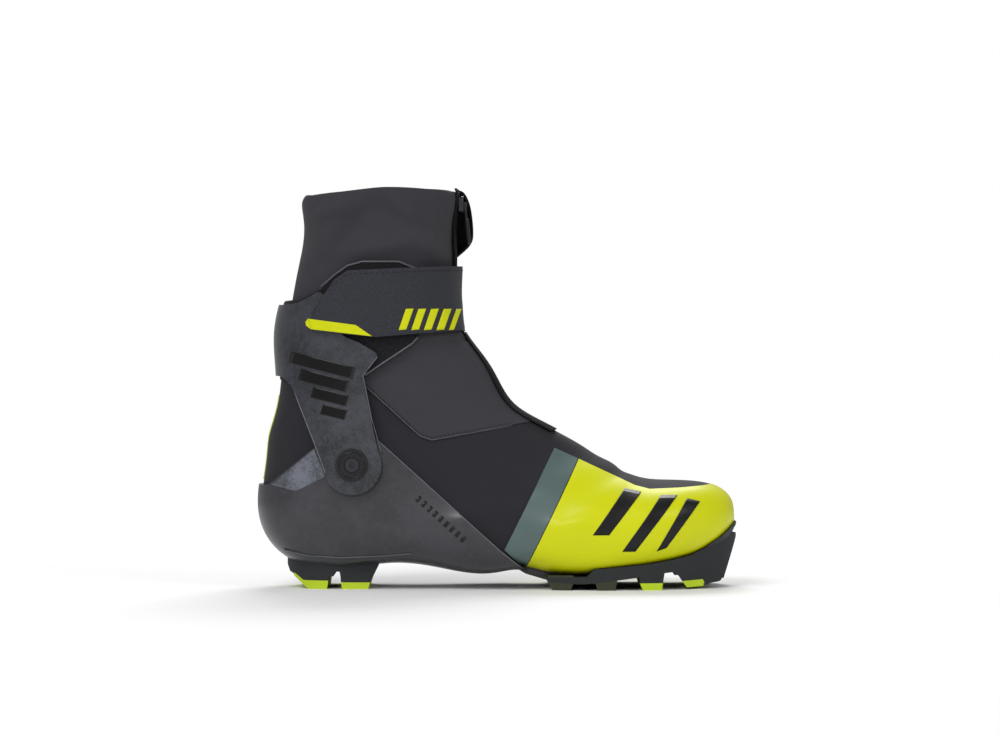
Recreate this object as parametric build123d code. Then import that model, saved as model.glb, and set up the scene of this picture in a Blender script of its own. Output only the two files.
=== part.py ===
"""Right-hand skating boot for cross-country skis: carbon chassis and cuff, zipped soft upper, binding sole.

Frame: +X towards the toe, +Z up, -Y is the outer (lateral) side, ground at Z 0, origin below the
middle of the boot. Millimetres. Each sub-part is written to parts/NODE.step.
"""

import os
from functools import lru_cache
from math import cos, pi, sin
from typing import NamedTuple

from build123d import *

# ---------------------------------------------------------------- driving dimensions
SKIN = 2.0  # soft upper fabric
LINING_OUT, LINING_IN = 2.3, 5.2  # depth of the lining's two faces below the outer skin
FILM = (0.1, 0.8)  # welded films, as heights of their two faces above the skin
RIM = 2.2  # sole rim thickness over the skin
SHELL_IN, SHELL_OUT = 0.1, 3.0  # carbon chassis
CUFF_WALL = 2.4
CUFF_SIDE = 7.4  # outer face of the cuff above the skin, at the sides
STRAP_SIDE, STRAP_FRONT, STRAP_WALL = 9.8, 5.2, 2.0
HINGE_X, HINGE_Z = -88.4, 76.4
ARM_R = 18.0  # rounded end of each cuff arm
DISC_R, SHANK_R, HINGE_GAP = 10.0, 7.0, 0.05
FLEX_Z, GAITER_Z = 119.0, 152.0  # the ankle bellows lie between these heights
GAP = 0.3  # clearance between soft pieces
VAMP_X = 25.0
BAR_X, BAR_Z, BAR_R, BAR_LENGTH = 131.5, 6.5, 2.0, 40.0
NOTCH_HALF = 14.0
GROOVE_Y, GROOVE_W = 13.0, 6.5
ZIP_HALF, COIL_HALF = 9.0, 2.6
STRAP_HINGE = (-45.0, 38.2)  # x and y of the strap's living hinge, on its outer face
FAR = 90.0  # beyond the boot on both sides


class Station(NamedTuple):
    """One cross-section of the foot form: a closed curve in a plane square to the side view."""

    front: tuple  # x, z of its instep end
    back: tuple  # x, z of its heel or sole end
    half: float  # half width
    mid: float  # y of its middle
    shift: float  # moves the widest place towards the back end
    full_front: float  # squareness of the two ends
    full_back: float


STATIONS = [
    Station((-27, 246.5), (-118.5, 244), 35.5, 0, 0, 0.03, 0.03),
    Station((-26.8, 228), (-119.6, 228), 36.5, 0, 0, 0.03, 0.03),
    Station((-27, 204), (-121.5, 204), 37, 0, 0, 0.03, 0.03),
    Station((-27.5, 180), (-126, 181), 37, 0, 0, 0.03, 0.03),
    Station((-21.5, 157), (-130, 157), 36.5, 0, 0.02, 0.02, 0.03),
    Station((-9, 140), (-133, 134), 36, 0, 0.06, 0, 0.03),
    Station((3, 119.5), (-136.8, 108), 36, 0, 0.10, -0.02, 0.04),
    Station((16, 106.5), (-142, 84), 36.5, 0, 0.12, -0.03, 0.05),
    Station((29, 99.5), (-145.3, 57), 37, -0.5, 0.13, -0.03, 0.06),
    Station((39.5, 94), (-141, 34), 37.5, -1, 0.13, -0.03, 0.08),
    Station((48.5, 89), (-122, 17.5), 38, -1.5, 0.13, -0.03, 0.10),
    Station((57, 83.5), (-86, 15.5), 39, -2, 0.12, -0.02, 0.12),
    Station((65, 79), (-45, 16.5), 41, -2, 0.10, -0.01, 0.13),
    Station((74, 73.5), (0, 12), 44.5, -1, 0.10, 0, 0.14),
    Station((84, 68.5), (42, 8.5), 47, -0.5, 0.10, 0.02, 0.14),
    Station((96, 66), (76, 10.5), 47.5, 0, 0.08, 0.03, 0.14),
    Station((110, 65.5), (101, 14), 45, 1, 0.06, 0.04, 0.12),
    Station((124, 64.5), (120, 19), 39, 3.5, 0.04, 0.05, 0.10),
    Station((134.5, 62), (134, 25), 31, 5, 0.02, 0.04, 0.08),
    Station((141.8, 57.5), (142.2, 31.5), 21, 6.5, 0, 0.03, 0.05),
    Station((145.7, 50.5), (146.2, 38.5), 10, 7.5, 0, 0.03, 0.03),
]

# Outlines in side view, as (x, z). They run round each piece once.
CHASSIS_OUTLINE = [
    (-160, 64), (-142.6, 63.4), (-140.5, 64.2), (-111, 87.4), (-95, 102), (-84, 102),
    (-72.7, 91.6), (1.7, 24.9), (17.6, 11.7), (24, 8.4), (30.3, 7.6), (30.3, -5), (-160, -5),
]
CUFF_OUTLINE = [
    (-170, 174.5), (-132, 174.3), (-122, 175.2), (-107.6, 183), (-94.5, 155.2), (-84, 151),
    (-71.5, 143.5), (-82.2, 131), (-76.9, 104.5), (-70.6, 76), (-105.2, 70.5), (-111, 87.4),
    (-125.4, 123.4), (-132, 130.4), (-170, 131),
]
CUFF_RADII = [0, 4, 20, 3, 8, 4, 3, 8, 0, 0, 0, 0, 12, 8, 0]
LINER_OUTLINE = [
    (-170, 177), (-131.5, 176.8), (-122, 177.4), (-107.5, 184), (-91, 199), (-82, 201.5),
    (-60, 201.5), (-47, 196), (-47, 154), (-52, 149), (-80.5, 129.5), (-86, 132), (-120, 132),
    (-132, 127.5), (-170, 127.2),
]
STRAP_OUTLINE = [
    (-117.6, 162.8), (-114.3, 167.4), (-99.2, 189.4), (-91, 195), (10, 199.5), (10, 156.5),
    (-22, 158.8), (-74, 154.2), (-115.8, 158.8),
]
STRAP_RADII = [3, 0, 8, 4, 0, 0, 0, 4, 3]
ANCHOR_OUTLINE = [(-96, 161), (-96, 192), (10, 198), (10, 159.5)]
RIM_LINE = [(59, 12.8), (91.4, 15.8), (105.1, 17.9), (118.7, 21), (127.8, 25.6), (136.9, 31.5), (147, 39.5)]
BASE_LINE = [(30.6, 5.0), (50, 3.8), (60, 4.3), (76, 6.5), (86, 7.8), (103, 10.5), (108.2, 11)]
TOE_BLOCK = [
    (108.2, 9.1), (110.9, 9), (113.2, 5.3), (126, 6), (127.7, 2.9), (136.8, 4.2), (139.6, 6), (148.2, 31),
]
SEAM_LINE = [(-81.3, 125.4), (-47.1, 94), (-40, 91.6), (-15.8, 95.8), (10.8, 100.5), (40, 104)]
BOARD_LINE = [
    (-160, 23), (-122, 22.8), (-86, 20.6), (-45, 21.6), (0, 17.2),
    (42, 13.8), (76, 15.8), (101, 19.2), (120, 24.2), (150, 39),
]
FOOTBED_LINE = [
    (-160, 29), (-122, 28), (-86, 25.6), (-45, 26.6), (0, 22.2),
    (42, 18.6), (76, 20.6), (101, 24), (120, 29), (150, 44),
]


# ---------------------------------------------------------------- the foot form
def offset_curve(points, growth, side):
    """Moves a curve of (x, z) points outwards by growth, a number or a function of z."""
    moved = []
    for i, (x, z) in enumerate(points):
        before, after = points[max(i - 1, 0)], points[min(i + 1, len(points) - 1)]
        dx, dz = after[0] - before[0], after[1] - before[1]
        length = (dx * dx + dz * dz) ** 0.5
        g = growth(z) if callable(growth) else growth
        moved.append((x - side * dz / length * g, z + side * dx / length * g))
    return moved


def section(front, back, station, growth):
    """The closed wire of one station, in four spline quarters with equal knots."""
    half = station.half + growth
    norm = 1 - (station.full_front + station.full_back) / 2

    def point(t):
        full = station.full_front + (station.full_back - station.full_front) * (1 - cos(t)) / 2
        along = (1 - cos(t)) / 2 + station.shift * sin(t) ** 2
        y = station.mid + half * (sin(t) + full * sin(3 * t)) / norm
        return Vector(front[0] + (back[0] - front[0]) * along, y, front[1] + (back[1] - front[1]) * along)

    def slope(t, step=1e-5):
        return (point(t + step) - point(t - step)) * (0.5 / step)

    quarters, spans = [], 3
    for quarter in range(4):
        knots = [pi / 2 * (quarter + k / spans) for k in range(spans + 1)]
        quarters.append(
            Edge.make_spline(
                [point(t) for t in knots],
                tangents=(slope(knots[0]), slope(knots[-1])),
                parameters=knots,
                scale=False,
            )
        )
    return Wire(quarters)


@lru_cache(maxsize=None)
def form(front, side=None, back=None):
    """The solid foot form grown by front, side and back; its flat top stays in one plane."""
    side = front if side is None else side
    back = front if back is None else back
    fronts = offset_curve([s.front for s in STATIONS], front, 1)
    backs = offset_curve([s.back for s in STATIONS], back, -1)
    top_front, top_back = STATIONS[0].front, STATIONS[0].back
    rise = (top_front[1] - top_back[1]) / (top_front[0] - top_back[0])
    fronts[0] = (fronts[0][0], top_front[1] + (fronts[0][0] - top_front[0]) * rise)
    backs[0] = (backs[0][0], top_front[1] + (backs[0][0] - top_front[0]) * rise)
    wires = [section(f, b, station, side) for f, b, station in zip(fronts, backs, STATIONS)]
    return Solid.make_loft(wires, ruled=False)


def top_face(solid):
    return max(solid.faces(), key=lambda face: face.center().Z)


def bowl(outer, inner):
    """A boot-shaped wall between two forms, open at the top, sewn from their faces."""
    caps = [top_face(outer), top_face(inner)]
    rim = Face(caps[0].outer_wire(), [caps[1].outer_wire()])
    walls = [f for solid, cap in zip((outer, inner), caps) for f in solid.faces() if not f.is_same(cap)]
    return Solid(Shell([*walls, rim]))


# ---------------------------------------------------------------- small builders
def side_prism(points, radii=None, low=-FAR, high=FAR):
    """A prism of a side-view outline, from y low to y high."""
    flat = [Vector(x, z, 0) for x, z in points]
    if radii is None:
        wire = Wire(Polyline(*flat, close=True).edges())
    else:
        wire = Wire(FilletPolyline(*flat, radius=radii, close=True).edges())
    face = Plane.XZ.offset(-high) * Face(wire)
    return Solid.extrude(face, Vector(0, low - high, 0))


def under(line, floor=-5.0):
    """The outline of everything under a line of (x, z) points."""
    return [*line, (line[-1][0], floor), (line[0][0], floor)]


def above(line, top=300.0):
    """The outline of everything above a line of (x, z) points."""
    return [*line, (line[-1][0], top), (line[0][0], top)]


def block(x0, x1, y0, y1, z0, z1):
    """An upright box between two corners."""
    return Pos((x0 + x1) / 2, (y0 + y1) / 2, (z0 + z1) / 2) * Box(x1 - x0, y1 - y0, z1 - z0)


def rod(x, z, radius, y0, y1):
    """A cylinder along Y."""
    return Pos(x, (y0 + y1) / 2, z) * Rot(90, 0, 0) * Cylinder(radius, abs(y1 - y0))


def surface_y(solid, x, z, side):
    """y of a form's wall at x, z, on side -1 (outer) or 1 (inner)."""
    ray = Edge.make_line(Vector(x, 0, z), Vector(x, side * FAR, z))
    hit = ray.intersect(solid)
    ends = [v.Y for e in hit for v in e.vertices()]
    return max(ends, key=abs)


def solids_only(shape):
    """A compound of the solids of a boolean result."""
    found = [s for s in ShapeList(shape.solids()) if s.volume > 1.0]
    return found[0] if len(found) == 1 else Compound(children=found)


def front_half():
    """Everything in front of and above the middle of the leg and foot."""
    return side_prism([(-70, 300), (-70, 150), (-60, 110), (0, 55), (60, 42), (170, 42), (170, 300)])


# ---------------------------------------------------------------- soft upper
def skin_shell():
    return bowl(form(0), form(-SKIN))


def lining_shell():
    shell = bowl(form(-LINING_OUT), form(-LINING_IN))
    throat = block(-70, 60, -15, 15, 60, 300) & front_half()
    return (shell & side_prism(above(BOARD_LINE))) - throat


def vamp(skin):
    return skin & block(VAMP_X + GAP / 2, 200, -FAR, FAR, -5, FLEX_Z)


def quarter(skin):
    lower = skin & block(-200, VAMP_X - GAP / 2, -FAR, FAR, -5, FLEX_Z)
    for side in (-1, 1):
        lower -= rod(HINGE_X, HINGE_Z, 6.4, side * 20, side * FAR)
    return lower


def ankle_bellows():
    shell = bowl(form(0), form(-LINING_IN))
    return shell & block(-200, 200, -FAR, FAR, FLEX_Z + GAP, GAITER_Z - GAP)


def gaiter(skin):
    return skin & block(-200, 200, -FAR, FAR, GAITER_Z, 300)


def tongue():
    shell = bowl(form(-LINING_IN - 0.2), form(-LINING_IN - 3.2))
    return shell & block(-70, 60, -24, 24, 66, 238) & front_half()


def zip_strip(low, high, half, line):
    strip = bowl(form(high), form(low)) & block(-70, 60, -half, half, 60, 300)
    return strip & front_half() & side_prism(line)


def zip_tape():
    return zip_strip(FILM[0], FILM[1], ZIP_HALF, [(-60, 250), (45, 250), (45, 96), (30, 84), (-60, 84)])


def zip_coil():
    outline = [(-60, 243), (45, 243), (45, 99), (28, 88), (-60, 88)]
    return zip_strip(FILM[1] + 0.05, FILM[1] + 1.4, COIL_HALF, outline)


def film(outline, low=FILM[0], high=FILM[1]):
    return bowl(form(high), form(low)) & side_prism(outline)


def toe_film():
    rim = [(x, z + GAP) for x, z in RIM_LINE]
    line = [(17.3, 12.6), (22.4, 9.6), (54.2, 8.6), *rim, (165, 50), (165, 75), (134.3, 75), (134, 63.5),
            (111.1, 62.1), (93.4, 61.5), (84.5, 63.7), (50.2, 79.6)]
    return film(line)


def grey_band():
    return film([(35.2, 86.4), (49.7, 79.8), (16.8, 12.6), (4.4, 24.8)])


def lace_cover():
    cover = film(above(SEAM_LINE, 166))
    return cover - block(-90, 90, -ZIP_HALF - GAP, ZIP_HALF + GAP, 60, 300)


def heel_stripe():
    strip = film([(-160, FLEX_Z - 0.5), (-125, FLEX_Z - 0.5), (-125, 70), (-139, 66.5), (-160, 66.5)])
    return strip & block(-200, -100, -4, 4, 0, 200)


def pull_loop():
    """Webbing finger loop on the front of the gaiter, beside the zip."""
    outer = [(-26, 246.3), (-20, 244.5), (-16.2, 235), (-14.6, 219), (-16.5, 211.5), (-24.5, 203.5)]
    inner = [(-27, 244.7), (-21.2, 243.2), (-17.8, 234.5), (-16.2, 219.2), (-18, 212.4), (-25.6, 204.8)]
    band = Wire(
        [
            Spline(*[(x, 0, z) for x, z in outer]),
            Line((*outer[-1][:1], 0, outer[-1][1]), (inner[-1][0], 0, inner[-1][1])),
            Spline(*[(x, 0, z) for x, z in reversed(inner)]),
            Line((inner[0][0], 0, inner[0][1]), (outer[0][0], 0, outer[0][1])),
        ]
    )
    loop = Pos(0, 26, 0) * Solid.extrude(Face(band), Vector(0, -16, 0))
    return loop & side_prism([(-23.2, 260), (-23.2, 228), (-25.0, 204), (-25.0, 200), (0, 200), (0, 260)])


# ---------------------------------------------------------------- inside
def lasting_board():
    slab = form(-LINING_OUT) & side_prism(under(BOARD_LINE))
    return max(slab.solids(), key=lambda solid: solid.volume)


def footbed():
    low = [(x, z + 0.1) for x, z in BOARD_LINE]
    return form(-LINING_IN - 0.2) & side_prism([*FOOTBED_LINE, *reversed(low)])


# ---------------------------------------------------------------- sole
def tread_outline():
    """Plan of the forefoot tread, a little inside the rim."""
    rows = [(26, 36, -0.5), (50, 42.5, 0), (75, 44, 0.5), (100, 41.5, 1.5), (120, 34, 3.5), (136, 24, 5.5)]
    outer = [(x, mid - half) for x, half, mid in rows]
    inner = [(x, mid + half) for x, half, mid in rows]
    points = [*outer, (148.4, 7), *reversed(inner)]
    edge = Spline(*[(x, y, 0) for x, y in points])
    return Face(Wire([edge, Line((*inner[0], 0), (*outer[0], 0))]))


def heel_outline():
    """Plan of the heel tread: round behind, straight in front."""
    return (Pos(-100.5, 0) * Circle(29.5) + Pos(-84, 0) * Rectangle(34, 59)).face()


def grooves(x0, x1, depth):
    """The two guide-rail grooves under the sole."""
    half = GROOVE_W / 2
    return [block(x0, x1, s * GROOVE_Y - half, s * GROOVE_Y + half, -1, depth) for s in (-1, 1)]


def forefoot_base():
    rim_area = side_prism(under([(30.6, 7.9), (54.6, 8.2), *RIM_LINE, (160, 50)]))
    cup = form(RIM) & rim_area
    tread = Solid.extrude(tread_outline(), Vector(0, 0, 40))
    top_line = [(148.2, 33), (140, 33), *reversed(RIM_LINE[:-1]), (54.6, 8.2), (30.6, 7.9)]
    belly = side_prism([*BASE_LINE, *TOE_BLOCK, *top_line])
    base = (cup + (tread & belly)) - form(0.05)
    base -= block(124.5, 137, -NOTCH_HALF, NOTCH_HALF, -1, 12)
    base -= rod(BAR_X, BAR_Z, BAR_R, -BAR_LENGTH / 2, BAR_LENGTH / 2)
    for groove in grooves(107, 150, 6.0):
        base -= groove
    return base - side_prism(TOE_TIP)


LUG_ROWS = {
    "mid": [
        [(30.8, 9), (30.9, 5.1), (33.6, 0), (44.7, 0), (46.3, 4), (46.6, 9)],
        [(59, 9), (59.6, 5), (61.2, 0), (71.8, 0), (73.1, 5.6), (73.4, 9)],
    ],
    "ball": [
        [
            (86.4, 12), (86.6, 7.9), (87.1, 4.2), (88.7, 0),
            (100.5, 0), (101.2, 4.7), (102.1, 10.4), (102.2, 14),
        ],
    ],
}
TOE_TIP = [(113.2, 5.3), (116, 1.4), (126.4, 1.8), (126.9, 4.4), (126, 6)]
TIP_HEIGHT = 4.4


def lug_group(rows, low, high, base):
    """The lugs of some rows between two heights, split by the grooves."""
    tread = Solid.extrude(tread_outline(), Vector(0, 0, 20))
    found = []
    for outline in rows:
        lug = (tread & side_prism(outline) & block(0, 150, -FAR, FAR, low, high)) - base - form(FILM[1] + 0.1)
        for groove in grooves(0, 150, 30):
            lug -= groove
        found += [s for s in lug.solids() if s.volume > 1]
    return Compound(children=found)


def toe_lug_tip(base):
    tip = Solid.extrude(tread_outline(), Vector(0, 0, 20)) & side_prism(TOE_TIP)
    tip -= block(124.5, 137, -NOTCH_HALF, NOTCH_HALF, -1, 12)
    for groove in grooves(0, 150, 30):
        tip -= groove
    return Compound(children=[s for s in (tip - base).solids() if s.volume > 1])


def toe_bar():
    return rod(BAR_X, BAR_Z, BAR_R, -BAR_LENGTH / 2, BAR_LENGTH / 2)


HEEL_PROFILE = [
    (-130.5, 22), (-129.9, 14.4), (-127.8, 10), (-124.4, 9.3), (-119, 5.3),
    (-103.6, 5.3), (-103.1, 7.6), (-100.3, 7.9), (-99.8, 10.7), (-96.7, 10.7),
    (-96.2, 9.1), (-95.7, 4.2), (-77.9, 4.2), (-74.1, 11.9), (-70, 22),
]
HEEL_TIPS = [
    [(-127.5, 9.8), (-124.4, 9.25), (-119, 5.25), (-103.6, 5.25), (-104.4, 0), (-116.2, 0)],
    [(-95.7, 4.15), (-95.1, 0), (-79.2, 0), (-77.9, 4.15)],
]


def heel_sole():
    plan = Solid.extrude(heel_outline(), Vector(0, 0, 25))
    heel = (plan & side_prism(HEEL_PROFILE)) - form(SHELL_OUT)
    for groove in grooves(-140, -60, 8.5):
        heel -= groove
    return solids_only(heel)


def heel_tips():
    plan = Solid.extrude(heel_outline(), Vector(0, 0, 25))
    found = []
    for outline in HEEL_TIPS:
        tip = plan & side_prism(outline)
        for groove in grooves(-140, -60, 30):
            tip -= groove
        found += tip.solids()
    return Compound(children=[s for s in found if s.volume > 1])


# ---------------------------------------------------------------- chassis, cuff and strap
def chassis():
    radii = [0, 0, 0, 0, 9, 9, 0, 0, 0, 0, 0, 0, 0]
    shell = bowl(form(SHELL_OUT), form(SHELL_IN)) & side_prism(CHASSIS_OUTLINE, radii)
    for side in (-1, 1):
        face = surface_y(form(SHELL_OUT), HINGE_X, HINGE_Z, side) - side * 0.5
        shell -= rod(HINGE_X, HINGE_Z, SHANK_R + 1.2, face, side * FAR)
        shell -= rod(HINGE_X, HINGE_Z, 3.05, side * 20, side * FAR)
    return max(shell.solids(), key=lambda solid: solid.volume)


def cuff_back(z):
    """How far the cuff's outer face stands behind the skin, at height z."""
    heights, values = (108, 134, 150, 157, 181), (3.6, 4.6, 8.2, 8.4, 7.0)
    for i in range(len(heights) - 1):
        if z <= heights[i + 1]:
            share = max(0.0, (z - heights[i]) / (heights[i + 1] - heights[i]))
            return values[i] + (values[i + 1] - values[i]) * share
    return values[-1]


def cuff_inner_back(z):
    return cuff_back(z) - CUFF_WALL


def liner_back(z):
    return cuff_inner_back(z) - GAP


def cuff_face(side):
    """y of the flat seat for the hinge disc on each side."""
    return surface_y(form(CUFF_SIDE), HINGE_X, HINGE_Z, side)


def cuff():
    inner_side = CUFF_SIDE - CUFF_WALL
    wall = bowl(form(CUFF_SIDE, CUFF_SIDE, cuff_back), form(inner_side, inner_side, cuff_inner_back))
    outline = side_prism(CUFF_OUTLINE, CUFF_RADII) + rod(HINGE_X, HINGE_Z, ARM_R, -FAR, FAR)
    shell = wall & outline & block(-200, -60, -FAR, FAR, 40, 200)
    for side in (-1, 1):
        face = cuff_face(side)
        shell -= rod(HINGE_X, HINGE_Z, SHANK_R + HINGE_GAP, side * 20, side * FAR)
        shell -= rod(HINGE_X, HINGE_Z, DISC_R + 0.1, face - side * 1.1, side * FAR)
    for hole in rivet_holes():
        shell -= hole
    return shell


def cuff_liner():
    outer = form(CUFF_SIDE - CUFF_WALL - GAP, CUFF_SIDE - CUFF_WALL - GAP, liner_back)
    inner = form(1.2, 1.2, 0.6)
    liner = bowl(outer, inner) & side_prism(LINER_OUTLINE)
    return liner & block(-200, -47, -FAR, FAR, 100, 220)


def strap_shell():
    inner = form(STRAP_FRONT - STRAP_WALL, STRAP_SIDE - STRAP_WALL, 12 - STRAP_WALL)
    return bowl(form(STRAP_FRONT, STRAP_SIDE, 12), inner)


def medial_of_hinge():
    """The part of space behind the strap's living hinge, on the inner side."""
    x, y = STRAP_HINGE
    return block(-200, x, y - 14, FAR, 100, 260)


def strap_band():
    band = strap_shell() & side_prism(STRAP_OUTLINE, STRAP_RADII)
    return band - block(-200, STRAP_HINGE[0] + 0.4, 0, FAR, 100, 260)


def strap_anchor():
    tab = strap_shell() & side_prism(ANCHOR_OUTLINE, [3, 3, 0, 0]) & medial_of_hinge()
    for hole in rivet_holes():
        tab -= hole
    return tab


RIVET_SPOTS = [(-88, 166), (-85, 178)]
RIVET_R = 1.5


def rivet_face(x, z):
    return surface_y(form(STRAP_FRONT, STRAP_SIDE, 12), x, z, 1)


def rivet_holes():
    return [rod(x, z, RIVET_R + 0.05, rivet_face(x, z) - 4.6, FAR) for x, z in RIVET_SPOTS]


def strap_rivets():
    """Two rivets that hold the strap's fixed end to the cuff wing."""
    rivets = []
    for x, z in RIVET_SPOTS:
        face = rivet_face(x, z)
        rivets.append(rod(x, z, 3.2, face + 0.35, face + 1.2) + rod(x, z, RIVET_R, face - 4.0, face + 1.0))
    return rivets


# ---------------------------------------------------------------- hinge hardware
def hinge_disc(side):
    """Black plastic bush: its shank turns in the cuff, its flange sits in the cuff's counterbore."""
    foot = surface_y(form(SHELL_OUT), HINGE_X, HINGE_Z, side) - side * 0.5
    face = cuff_face(side)
    disc = rod(HINGE_X, HINGE_Z, SHANK_R, foot, face)
    disc += rod(HINGE_X, HINGE_Z, DISC_R, face - side * 1.0, face + side * 0.6)
    disc -= rod(HINGE_X, HINGE_Z, 4.6, face - side * 1.4, face + side * 2)
    return disc - rod(HINGE_X, HINGE_Z, 2.6, foot - side, face + side)


def hinge_screw(side):
    face = cuff_face(side)
    inner = surface_y(form(-1.6), HINGE_X, HINGE_Z, side)
    head = rod(HINGE_X, HINGE_Z, 4.2, face - side * 1.35, face + side * 0.5)
    screw = head + rod(HINGE_X, HINGE_Z, 1.9, inner, face - side * 1.2)
    hexagon = extrude(RegularPolygon(2.0, 6), 0.9, both=True)
    socket = Pos(HINGE_X, face - side * 0.1, HINGE_Z) * Rot(90, 0, 0) * hexagon
    return screw - socket


def hinge_nut(side):
    """T-nut pressed in from inside the boot."""
    inner = surface_y(form(-1.6), HINGE_X, HINGE_Z, side)
    seat = surface_y(form(0), HINGE_X, HINGE_Z, side)
    outer = surface_y(form(SHELL_OUT), HINGE_X, HINGE_Z, side) - side * 0.9
    nut = rod(HINGE_X, HINGE_Z, 6.0, inner, seat - side * 0.8) + rod(HINGE_X, HINGE_Z, 3.0, inner, outer)
    return nut - rod(HINGE_X, HINGE_Z, 1.95, inner - side, outer + side)


# ---------------------------------------------------------------- zip slider
SLIDER = (-21.7, 236.5)  # x and z of its plate's middle, at the top of the zip


def zip_slider():
    x, z = SLIDER
    body = Pos(x, 0, z) * fillet(Box(1.4, 8.8, 10).edges().filter_by(Axis.X), 2)
    walls = [Pos(x - 1.2, side * 3.9, z) * Box(1.8, 1.0, 8) for side in (-1, 1)]
    lug = Pos(x + 1.8, 0, z - 1) * (Box(2.4, 2.4, 5) - Pos(0.2, 0, 0) * Rot(90, 0, 0) * Cylinder(0.75, 4))
    return body + walls[0] + walls[1] + lug


def zip_pull():
    """Pull: a pin through the slider's lug, a cord and a rubber grip, leaning out a little at the foot."""
    x, z = SLIDER[0] + 2.0, SLIDER[1] - 1
    pin = Pos(x, 0, z) * Rot(90, 0, 0) * Cylinder(0.7, 6.4)
    legs = [Pos(x + 0.35, side * 2.7, z - 4.2) * Rot(0, -5, 0) * Box(1.3, 1.0, 9) for side in (-1, 1)]
    grip = Pos(x + 1.6, 0, z - 15.5) * Rot(0, -6, 0) * fillet(Box(2.6, 6.6, 16).edges(), 1.0)
    return pin + legs[0] + legs[1] + grip


# ---------------------------------------------------------------- build
def build():
    """All nodes by name."""
    skin = skin_shell()
    lining = lining_shell()
    base = forefoot_base()
    nodes = {
        "vamp": vamp(skin),
        "quarter": quarter(skin),
        "ankle_bellows": ankle_bellows(),
        "gaiter": gaiter(skin),
        "lining_toe": lining & block(VAMP_X + GAP / 2, 200, -FAR, FAR, -5, FLEX_Z),
        "lining_heel": lining & block(-200, VAMP_X - GAP / 2, -FAR, FAR, -5, FLEX_Z),
        "lining_shaft": lining & block(-200, 200, -FAR, FAR, GAITER_Z, 300),
        "tongue": tongue(),
        "zip_tape": zip_tape(),
        "zip_coil": zip_coil(),
        "toe_film": toe_film(),
        "grey_band": grey_band(),
        "lace_cover": lace_cover(),
        "heel_stripe": heel_stripe(),
        "pull_loop": pull_loop(),
        "lasting_board": lasting_board(),
        "footbed": footbed(),
        "forefoot_base": base,
        "ball_lugs": lug_group(LUG_ROWS["ball"], TIP_HEIGHT, 20, base),
        "ball_lug_tips": lug_group(LUG_ROWS["ball"], 0, TIP_HEIGHT, base),
        "midfoot_lugs": lug_group(LUG_ROWS["mid"], 0, 20, base),
        "toe_lug_tips": toe_lug_tip(base),
        "toe_bar": toe_bar(),
        "heel_sole": heel_sole(),
        "heel_lug_tips": heel_tips(),
        "carbon_chassis": chassis(),
        "carbon_cuff": cuff(),
        "cuff_liner": cuff_liner(),
        "strap_band": strap_band(),
        "strap_anchor": strap_anchor(),
        "strap_rivets": Compound(children=strap_rivets()),
        "zip_slider": zip_slider(),
        "zip_pull": zip_pull(),
    }
    for name, side in (("outer", -1), ("inner", 1)):
        nodes[f"hinge_disc_{name}"] = hinge_disc(side)
        nodes[f"hinge_screw_{name}"] = hinge_screw(side)
        nodes[f"hinge_nut_{name}"] = hinge_nut(side)
    return nodes


def main():
    os.makedirs("parts", exist_ok=True)
    for name, shape in build().items():
        export_step(solids_only(shape), f"parts/{name}.step")


main()
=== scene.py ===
"""Studio scene of a right-hand cross-country skating boot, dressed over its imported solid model."""

import logging
from dataclasses import dataclass, field
from enum import Enum
from math import asin, cos, exp, pi, radians, sin
from typing import Callable, Iterable, Sequence

import bmesh
import bpy
from mathutils import Matrix, Vector, noise
from mathutils.bvhtree import BVHTree


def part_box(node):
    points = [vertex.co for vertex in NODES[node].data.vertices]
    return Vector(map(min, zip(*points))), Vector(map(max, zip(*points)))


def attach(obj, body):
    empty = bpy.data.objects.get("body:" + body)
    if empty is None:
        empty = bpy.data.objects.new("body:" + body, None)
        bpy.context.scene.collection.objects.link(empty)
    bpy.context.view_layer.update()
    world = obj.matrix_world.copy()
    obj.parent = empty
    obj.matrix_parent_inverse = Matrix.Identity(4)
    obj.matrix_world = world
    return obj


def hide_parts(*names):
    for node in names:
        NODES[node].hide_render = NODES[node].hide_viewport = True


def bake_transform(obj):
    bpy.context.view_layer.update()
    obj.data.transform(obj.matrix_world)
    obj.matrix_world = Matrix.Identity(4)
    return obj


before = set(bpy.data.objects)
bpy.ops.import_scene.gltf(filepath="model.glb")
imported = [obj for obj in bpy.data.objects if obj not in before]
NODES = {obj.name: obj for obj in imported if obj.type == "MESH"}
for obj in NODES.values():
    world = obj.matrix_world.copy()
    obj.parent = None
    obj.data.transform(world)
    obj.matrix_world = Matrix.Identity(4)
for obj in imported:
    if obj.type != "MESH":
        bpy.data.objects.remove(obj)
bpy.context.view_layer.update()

MM = 0.001
LOG = logging.getLogger("boot")
Flat = tuple[float, float]


# -------- finishes
class Texture(Enum):
    """Kinds of fine surface relief, each named after the Relief method that builds it."""

    WEAVE = "weave"
    GRAIN = "grain"
    LOOPS = "loops"
    FLAKE = "flake"


def linear(colour: tuple[int, int, int]) -> tuple[float, float, float, float]:
    """Turns a display colour of 0 to 255 into linear light.

    Args:
        colour: red, green and blue.

    Returns:
        The linear colour with an alpha of 1.
    """
    out = [c / 255 / 12.92 if c < 11 else ((c / 255 + 0.055) / 1.055) ** 2.4 for c in colour]
    return (out[0], out[1], out[2], 1.0)


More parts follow.
